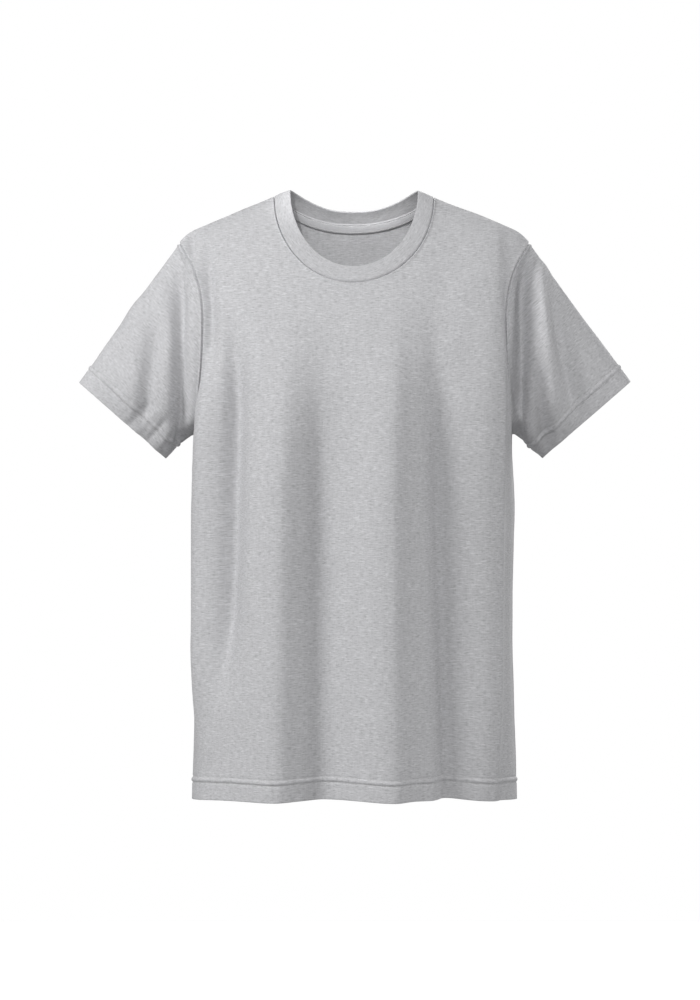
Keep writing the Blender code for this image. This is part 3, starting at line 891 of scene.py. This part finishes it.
# %% Shader maths
class Wire:
    """An output socket to calculate with."""

    def __init__(self, tree, socket=None):
        self.tree, self.socket = tree, socket

    def node(self, kind, settings=None, inputs=None, output=0):
        """Adds a node of this kind. Settings come first, since they change which sockets there are."""
        made = self.tree.nodes.new(kind)
        for key, value in (settings or {}).items():
            setattr(made, key, value)
        for key, value in (inputs or {}).items():
            if isinstance(value, Wire):
                self.tree.links.new(value.socket, made.inputs[key])
            else:
                made.inputs[key].default_value = value
        return Wire(self.tree, made.outputs[output])

    def maths(self, operation, *values):
        return self.node("ShaderNodeMath", {"operation": operation}, dict(enumerate(values)))

    def __add__(self, other):
        return self.maths("ADD", self, other)

    def __sub__(self, other):
        return self.maths("SUBTRACT", self, other)

    def __rsub__(self, other):
        return self.maths("SUBTRACT", other, self)

    def __mul__(self, other):
        return self.maths("MULTIPLY", self, other)

    def __truediv__(self, other):
        return self.maths("DIVIDE", self, other)

    __radd__, __rmul__ = __add__, __mul__

    def clipped(self):
        return self.node("ShaderNodeClamp", {}, {"Value": self})

    def wave(self):
        """0 to 1 and back once for every whole number."""
        return 0.5 - 0.5 * (self * (2 * math.pi)).maths("COSINE")

    def between(self, low, high):
        """0 up to low, 1 from high on."""
        return ((self - low) / (high - low)).clipped()


def cloth_directions(tree):
    """Millimetres along the courses and along the wales, from the map called cloth."""
    place = Wire(tree).node("ShaderNodeUVMap", {"uv_map": "cloth"})
    across = place.node("ShaderNodeSeparateXYZ", {}, {"Vector": place})
    down = Wire(tree, across.socket.node.outputs["Y"])
    return across / MM, down / MM


def fleck(across, down, length, width, offset):
    """Noise in streaks of a given length and width."""
    place = across.node("ShaderNodeCombineXYZ", {}, {"X": across / length, "Y": down / width, "Z": offset})
    grain = {"Scale": 1.0, "Detail": 2.0, "Roughness": 0.55}
    return place.node("ShaderNodeTexNoise", {}, {"Vector": place, **grain})


def colour_of(red, green, blue):
    return red.node("ShaderNodeCombineColor", {}, {"Red": red, "Green": green, "Blue": blue})

# %% [markdown]
# ## Heather jersey
#
# Heather yarn is spun from fibres dyed in different greys. Knitted round in courses, its flecks become
# streaks a few millimetres long and a course or two high, some lighter and some darker than the cloth. Each
# course is a row of little Vs, which is the relief: a V's two legs lean together down the wale.

# %% Heather jersey
WALE = 0.95                      # millimetres from one column of Vs to the next
COURSE = 0.75
LEG_CLIMB = 1.1                  # courses that a leg climbs, to each wale across
LOOP_POWER = 0.6                 # below 1, the gaps between loops are narrower than the loops
KNIT_DEPTH = 0.16 * MM
FUZZ = (3.0, 1.2, 9.1)           # uneven yarn: length, width, place in the noise
FUZZ_DEPTH = 0.10 * MM
JERSEY_GREY = 0.50
JERSEY_SPREAD = 0.23             # how strong the flecks are
BLUER = 1.026                    # blue, over red and green
SPECULAR = 0.2
SHEEN = 0.12
SHEEN_ROUGHNESS = 0.5

# weight, length, width, place in the noise, and the noise values at which each starts and is full
FLECKS = {
    "dark fibres": (-1.1, 5.8, 1.3, 0.0, 0.49, 0.70),
    "light fibres": (0.9, 7.0, 1.5, 7.7, 0.51, 0.72),
    "fine grain": (0.5, 2.0, 0.8, 5.3, 0.3, 0.7),
    "uneven wales": (0.35, 1.4, 14.0, 2.9, 0.3, 0.7),
    "broad patches": (0.12, 60.0, 22.0, 3.1, 0.3, 0.7),
}
LEVELLED = ("fine grain", "uneven wales", "broad patches")   # these lighten as much as they darken


def finish_of(name, colour_and_height, roughness=0.92):
    """A cloth material. colour_and_height(across, down) gives its colour and its relief in metres."""
    material = bpy.data.materials.new(name)
    material.use_nodes = True
    shader = material.node_tree.nodes["Principled BSDF"]
    across, down = cloth_directions(material.node_tree)
    colour, height = colour_and_height(across, down)
    bump = height.node("ShaderNodeBump", {}, {"Height": height / MM, "Distance": MM, "Strength": 1.0})
    material.node_tree.links.new(colour.socket, shader.inputs["Base Color"])
    material.node_tree.links.new(bump.socket, shader.inputs["Normal"])
    shader.inputs["Roughness"].default_value = roughness
    shader.inputs["Specular IOR Level"].default_value = SPECULAR
    shader.inputs["Sheen Weight"].default_value = SHEEN
    shader.inputs["Sheen Roughness"].default_value = SHEEN_ROUGHNESS
    print(name, "has", len(material.node_tree.nodes), "nodes")
    return material


def knit(across, down):
    """0 in the gaps between legs, 1 on top of a leg."""
    column = (across / WALE).maths("FRACT") - 0.5
    lean = column.maths("ABSOLUTE")
    rows = (down / COURSE + lean * LEG_CLIMB).wave()
    return (lean * 2).wave() * rows.maths("POWER", rows, LOOP_POWER)


def heather(across, down, level, spread):
    """Light and dark fibres over a grey, as a colour."""
    tone = 0
    for kind, (weight, length, width, place, low, high) in FLECKS.items():
        streaks = fleck(across, down, length, width, place).between(low, high)
        tone = tone + weight * (streaks - 0.5 if kind in LEVELLED else streaks)
    value = (1 + spread * tone) * level
    return colour_of(value, value, value * BLUER)


def jersey_look(across, down):
    loops = knit(across, down)
    height = loops * KNIT_DEPTH + fleck(across, down, *FUZZ) * FUZZ_DEPTH
    return heather(across, down, JERSEY_GREY, JERSEY_SPREAD), height


jersey = finish_of("heather_jersey", jersey_look)

# %% [markdown]
# ## Rib, tape and thread
#
# The neckband is ribbed knit: columns of loops that stand up with furrows between, running from the seam to
# the fold, and its colour is darkened in the furrows as painted shade. The tape is a narrow twill, whose
# ridges climb at a slant. Thread is twisted, so its highlights
# run round it in a spiral.

# %% Rib, tape and thread
RIB = 1.9                        # millimetres from rib to rib
RIB_DEPTH = 0.30 * MM
RIB_LOOPS = 0.4                  # its loops are this much as deep as the jersey's
RIB_FURROW_PAINTED_SHADE = 0.035                # painted shade: how much darker the colour is made in the furrows
RIB_SPREAD = 0.18
TWILL = 0.8                      # millimetres from ridge to ridge
TWILL_DEPTH = 0.10 * MM
CROSSING = (0.5, 0.3)            # finer ridges the other way: their spacing and depth, as shares
TAPE_GREY = 1.08 * JERSEY_GREY
TAPE_SPREAD = 0.10
TWIST = 0.55                     # millimetres along the thread to a turn
PLIES = 2
THREAD_DEPTH = 0.05 * MM
THREAD_TONE_AND_PAINTED_HIGHLIGHT = (1.04, 0.1)      # colour level between the plies, and how much lighter the plies' tops are made, a painted highlight


def rib_look(across, down):
    ribs = (across / RIB).wave()
    loops = (down / COURSE).wave()
    height = ribs * RIB_DEPTH + ribs * loops * (RIB_LOOPS * KNIT_DEPTH)
    # painted shade: the colour darkens in the furrows between the ribs
    painted_shade = 1 - RIB_FURROW_PAINTED_SHADE + RIB_FURROW_PAINTED_SHADE * ribs
    colour = heather(across, down, JERSEY_GREY, RIB_SPREAD)
    return colour.node("ShaderNodeVectorMath", {"operation": "SCALE"}, {0: colour, "Scale": painted_shade}), height


def tape_look(across, down):
    slant = ((across + down) / TWILL).wave()
    cross = ((across - down) / (CROSSING[0] * TWILL)).wave()
    height = slant * TWILL_DEPTH + cross * (CROSSING[1] * TWILL_DEPTH)
    return heather(across, down, TAPE_GREY, TAPE_SPREAD), height


def thread_look(across, down):
    twist = (across / TWIST + down * (PLIES * MM)).wave()
    # painted highlight: the colour is lighter where the plies stand up
    value = JERSEY_GREY * (THREAD_TONE_AND_PAINTED_HIGHLIGHT[0] + THREAD_TONE_AND_PAINTED_HIGHLIGHT[1] * twist)
    return colour_of(value, value, value), twist * THREAD_DEPTH


rib = finish_of("heather_rib", rib_look)
tape = finish_of("neck_tape", tape_look, roughness=0.85)
thread = finish_of("sewing_thread", thread_look, roughness=0.55)

# %% [markdown]
# ## Dress the frame
#
# Each shell takes the place of its solid and rides on the same body, the root, since a shirt has no joint.
# The flat size each sheet was cut to is then measured along the cloth and printed. A ring's
# width is the way round it.

# %% Dress the frame
SLOTS = {"neckband": ("rib", rib), "neck_tape": ("tape", tape)}

for name, piece in pieces.items():
    slot, material = SLOTS.get(name, ("jersey", jersey))
    piece.data.materials.append(material)
    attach(piece, "root")
    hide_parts(name)
for name, piece in threads.items():
    piece.data.materials.append(thread)
    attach(piece, "root")

cloths = {**shells, "neck_tape": tape_middle}
for name, points in cloths.items():
    grid = ring_closed(points) if name in RINGS else points
    width = float(run_along(grid.swapaxes(0, 1))[-1].max())
    length = float(run_along(points)[-1].max())
    if name not in RINGS:
        length, width = max(length, width), min(length, width)
    area = min(float(np.linalg.norm(cell_normals(grid), axis=-1).sum() / 2), width * length)
    sewn = [threads[name]] if name in threads else []
    print(f"{name}: flat {width / MM:.0f} x {length / MM:.0f} mm, {area * 1e4:.0f} cm2")

# %% [markdown]
# ## Studio
#
# A white floor and a white background, seen by the camera only, so that neither tints the cloth. A soft lamp
# from the left gives every fold a light side and a dark one. Weaker ones in front, high and low, and at the
# right keep the dark sides open, and one behind is there for whoever walks round. A tiny lamp and a narrow
# spot light the inside of the neck.

# %% Studio
FLOOR_Z = -1.02
FLOOR_HALF = 4.0
PAPER = (0.8, 0.8, 0.8, 1)
WHITE = (1, 1, 1, 1)


def put_in_scene(name, data):
    thing = bpy.data.objects.new(name, data)
    bpy.context.scene.collection.objects.link(thing)
    return thing


mesh = bpy.data.meshes.new("floor")
corners = [(-1, -1), (1, -1), (1, 1), (-1, 1)]
mesh.from_pydata([(x * FLOOR_HALF, y * FLOOR_HALF, FLOOR_Z) for x, y in corners], [], [(0, 1, 2, 3)])
floor = put_in_scene("floor", mesh)
floor.visible_diffuse = floor.visible_glossy = floor.visible_shadow = False
paper = bpy.data.materials.new("studio_paper")
paper.use_nodes = True
paper_inputs = paper.node_tree.nodes["Principled BSDF"].inputs
paper_values = {
    "Base Color": PAPER,
    "Roughness": 1.0,
    "Specular IOR Level": 0.0,
    "Emission Color": WHITE,
    "Emission Strength": 1.0,
}
for socket, value in paper_values.items():
    paper_inputs[socket].default_value = value
mesh.materials.append(paper)
floor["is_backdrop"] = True

MIDDLE = (0, 0, -0.40)
NAPE = (0, 0.09, -0.05)

# azimuth and height in degrees, watts, what it is aimed at, distance, diameter; azimuth is 0 in front and
# grows to the right
LAMPS = {
    "key": (-60, 29, 95, MIDDLE, 4.0, 1.5),
    "front": (-6, 34, 50, MIDDLE, 4.0, 1.5),
    "low": (8, -12, 16, MIDDLE, 4.0, 1.5),
    "right": (80, 6, 34, MIDDLE, 4.0, 1.5),
    "behind": (160, 28, 110, MIDDLE, 4.0, 2.4),
    "neck": (0, -45, 0.04, NAPE, 0.2, 0.1),
}


def place_lamp(lamp, away, aim, distance):
    """Hangs a lamp at a distance from what it is aimed at; away points from there to the lamp."""
    holder = put_in_scene(lamp.name, lamp)
    holder.location = Vector(aim) + distance * away
    holder.rotation_euler = (-away).to_track_quat("-Z", "Y").to_euler()
    return holder


for name, (azimuth, height, power, aim, distance, size) in LAMPS.items():
    lamp = bpy.data.lights.new(name, "AREA")
    lamp.shape = "DISK"
    lamp.size = size
    lamp.energy = power
    turn, lift = math.radians(azimuth), math.radians(height)
    away = Vector((math.sin(turn) * math.cos(lift), -math.cos(turn) * math.cos(lift), math.sin(lift)))
    place_lamp(lamp, away, aim, distance).visible_camera = False

SPOT_POWER = 265
SPOT_ANGLE = math.radians(3.6)
SPOT_BLEND = 0.9                 # how soft the edge of its beam is
SPOT_RADIUS = 0.02
SPOT_AWAY = (-0.22, -0.95, 0.62)
SPOT_DISTANCE = 3.0

spot = bpy.data.lights.new("spot", "SPOT")
spot.energy = SPOT_POWER
spot.spot_size = SPOT_ANGLE
spot.spot_blend = SPOT_BLEND
spot.shadow_soft_size = SPOT_RADIUS
place_lamp(spot, Vector(SPOT_AWAY).normalized(), NAPE, SPOT_DISTANCE)
print(len(LAMPS) + 1, "lamps")

# %% [markdown]
# ## Background and camera
#
# The background is white to the camera, and gives the cloth much less light than that. The camera stands far
# off with a long lens, level with the middle of the shirt, so near parts look hardly larger than far ones.

# %% Background and camera
AMBIENT = 0.30                   # the background's strength for everything but the camera
LENS = 278.8
SENSOR_HEIGHT = 24
CAMERA_PLACE = (-0.005, -14.0, -0.365)

world = bpy.data.worlds.new("studio")
world.use_nodes = True
background = world.node_tree.nodes["Background"]
seen = Wire(world.node_tree).node("ShaderNodeLightPath")
strength = AMBIENT + (1 - AMBIENT) * seen
world.node_tree.links.new(strength.socket, background.inputs["Strength"])
background.inputs["Color"].default_value = WHITE
bpy.context.scene.world = world
bpy.context.scene.view_settings.view_transform = "Standard"

camera = put_in_scene("camera", bpy.data.cameras.new("camera"))
camera.data.sensor_fit = "VERTICAL"
camera.data.sensor_height = SENSOR_HEIGHT
camera.data.lens = LENS
camera.location = CAMERA_PLACE
camera.rotation_euler = (math.pi / 2, 0, 0)
bpy.context.scene.camera = camera
print("camera:", [round(value, 3) for value in camera.location])

# %% [markdown]
# ## Sizes
#
# The shell must keep the size of the solid it covers, so both boxes are written down side by side.

# %% Sizes
boxes = {"cad": cad_box, "visual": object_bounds()}
for name, box in boxes.items():
    print(name, "box in mm:", in_mm([list(corner) for corner in box]))
